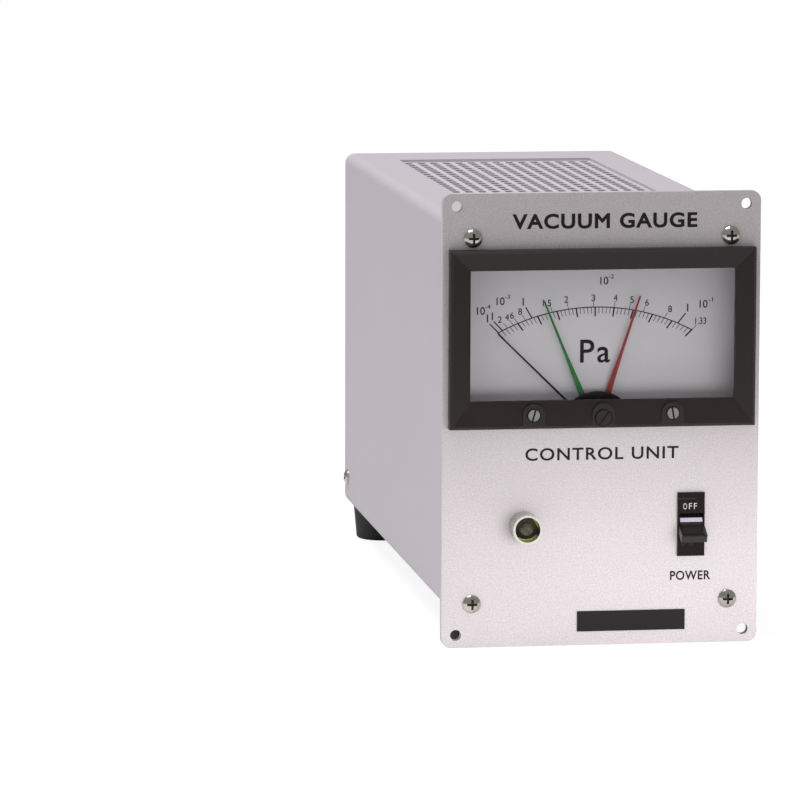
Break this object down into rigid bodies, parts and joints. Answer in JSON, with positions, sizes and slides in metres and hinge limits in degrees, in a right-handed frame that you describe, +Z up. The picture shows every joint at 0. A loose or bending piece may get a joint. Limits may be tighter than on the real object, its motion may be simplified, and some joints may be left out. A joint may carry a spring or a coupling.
{
  "type": "vacuum gauge",
  "caption": "Panel-mount vacuum gauge control unit: dial meter with two set pointers, pilot lamp and power lever on a brushed panel, in a vented sheet-metal case on rubber feet.",
  "frame": {"origin": "centre of the front panel's four mounting holes, on the panel's back face", "axes": "+X to the right as seen from the front, +Y back into the unit, +Z up"},
  "size_m": [0.105, 0.2657, 0.149],
  "materials": {
    "panel_aluminium": "brushed, satin",
    "case_paint": "smooth light grey paint",
    "grille_paint": "smooth grey paint",
    "zinc_steel": "zinc plated",
    "nickel": "nickel plated",
    "black_moulding": "semi-gloss black",
    "meter_glass": "clear",
    "dial_paint": "matt off-white",
    "black_paint": "matt black",
    "green_paint": "satin green",
    "red_paint": "satin red",
    "brass": "machined",
    "soft_iron": "oxide grey",
    "copper": "enamelled wire",
    "lamp_glass": "tinted, clear",
    "switch_black": "matt black",
    "rubber": "black",
    "board_laminate": "green laminate",
    "component_plastic": "moulded",
    "white_insulator": "moulded",
    "spring_steel": "bright turned"
  },
  "bodies": {
    "unit": {"front_panel": "panel_aluminium", "panel_screws": "nickel", "case_sleeve": "case_paint", "vent_grille": "grille_paint", "top_rail": "zinc_steel", "bottom_rail": "zinc_steel", "chassis_plate": "zinc_steel", "rear_panel": "case_paint", "side_screws": "nickel", "rubber_feet": "rubber", "foot_screws": "zinc_steel", "foot_nuts": "zinc_steel", "meter_bezel": "black_moulding", "meter_window": "meter_glass", "meter_body": "black_moulding", "meter_screws": "zinc_steel", "meter_terminals": "brass", "dial_plate": "dial_paint", "hub_cover": "black_moulding", "movement_plate": "brass", "meter_pillars": "brass", "yoke_ring": "soft_iron", "core_magnet": "soft_iron", "core_spacers": "brass", "rear_bridge": "brass", "lamp_holder": "nickel", "lamp_lens": "lamp_glass", "lamp_bulb": "white_insulator", "lamp_nut": "zinc_steel", "switch_housing": "switch_black", "switch_pin": "spring_steel", "switch_terminals": "brass", "label_plate": "black_paint", "main_board": "board_laminate", "board_standoffs": "zinc_steel", "chassis_screws": "zinc_steel", "board_components": "component_plastic", "transformer_core": "soft_iron", "transformer_winding": "copper", "power_inlet": "switch_black", "inlet_blades": "nickel", "rear_screws": "nickel", "fuse_holder": "switch_black", "gauge_socket": "nickel", "socket_insulator": "white_insulator", "terminal_block": "switch_black", "ground_terminal": "nickel"},
    "needle_hand": {"needle": "black_paint", "moving_coil": "copper"},
    "green_hand": {"green_set_pointer": "green_paint", "green_gear": "brass"},
    "red_hand": {"red_set_pointer": "red_paint", "red_gear": "brass"},
    "left_drive": {"left_adjuster": "spring_steel", "left_pinion": "brass"},
    "right_drive": {"right_adjuster": "spring_steel", "right_pinion": "brass"},
    "zero_drive": {"zero_screw": "black_moulding"},
    "zero_lever": {"zero_arm": "brass"},
    "power_rocker": {"power_lever": "switch_black"}
  },
  "joints": [
    {"name": "needle_turn", "type": "hinge", "parent": "unit", "child": "needle_hand", "pos_m": [0, 0.0046, -0.0044], "axis": [0, 1, 0], "range_deg": [0, 91], "stiffness_Nm_per_rad": 0.0004, "springref_deg": -5.73},
    {"name": "left_adjuster_turn", "type": "hinge", "parent": "unit", "child": "left_drive", "pos_m": [-0.023, 0.012, 0.0024], "axis": [0, 1, 0], "range_deg": [-132.8, 45.2]},
    {"name": "green_hand_turn", "type": "hinge", "parent": "unit", "child": "green_hand", "pos_m": [0, 0.009, -0.0044], "axis": [0, 1, 0], "range_deg": [-22.6, 66.4]},
    {"name": "right_adjuster_turn", "type": "hinge", "parent": "unit", "child": "right_drive", "pos_m": [0.023, 0.0105, 0.0024], "axis": [0, 1, 0], "range_deg": [-53.4, 126.6]},
    {"name": "red_hand_turn", "type": "hinge", "parent": "unit", "child": "red_hand", "pos_m": [0, 0.008, -0.0044], "axis": [0, 1, 0], "range_deg": [-63.3, 26.7]},
    {"name": "zero_adjuster_turn", "type": "hinge", "parent": "unit", "child": "zero_drive", "pos_m": [0, -0.005, 0.0012], "axis": [0, 1, 0], "range_deg": [-45, 45]},
    {"name": "zero_arm_turn", "type": "hinge", "parent": "unit", "child": "zero_lever", "pos_m": [0, 0.0022, -0.0044], "axis": [0, 1, 0], "range_deg": [-9.9, 9.9]},
    {"name": "power_lever_rock", "type": "hinge", "parent": "unit", "child": "power_rocker", "pos_m": [0.0301, -0.0014, -0.03495], "axis": [-1, 0, 0], "range_deg": [0, 50]}
  ],
  "couplings": [
    {"joint": "green_hand_turn", "follows": "left_adjuster_turn", "ratio": -0.5},
    {"joint": "red_hand_turn", "follows": "right_adjuster_turn", "ratio": -0.5},
    {"joint": "zero_arm_turn", "follows": "zero_adjuster_turn", "ratio": -0.2174}
  ]
}
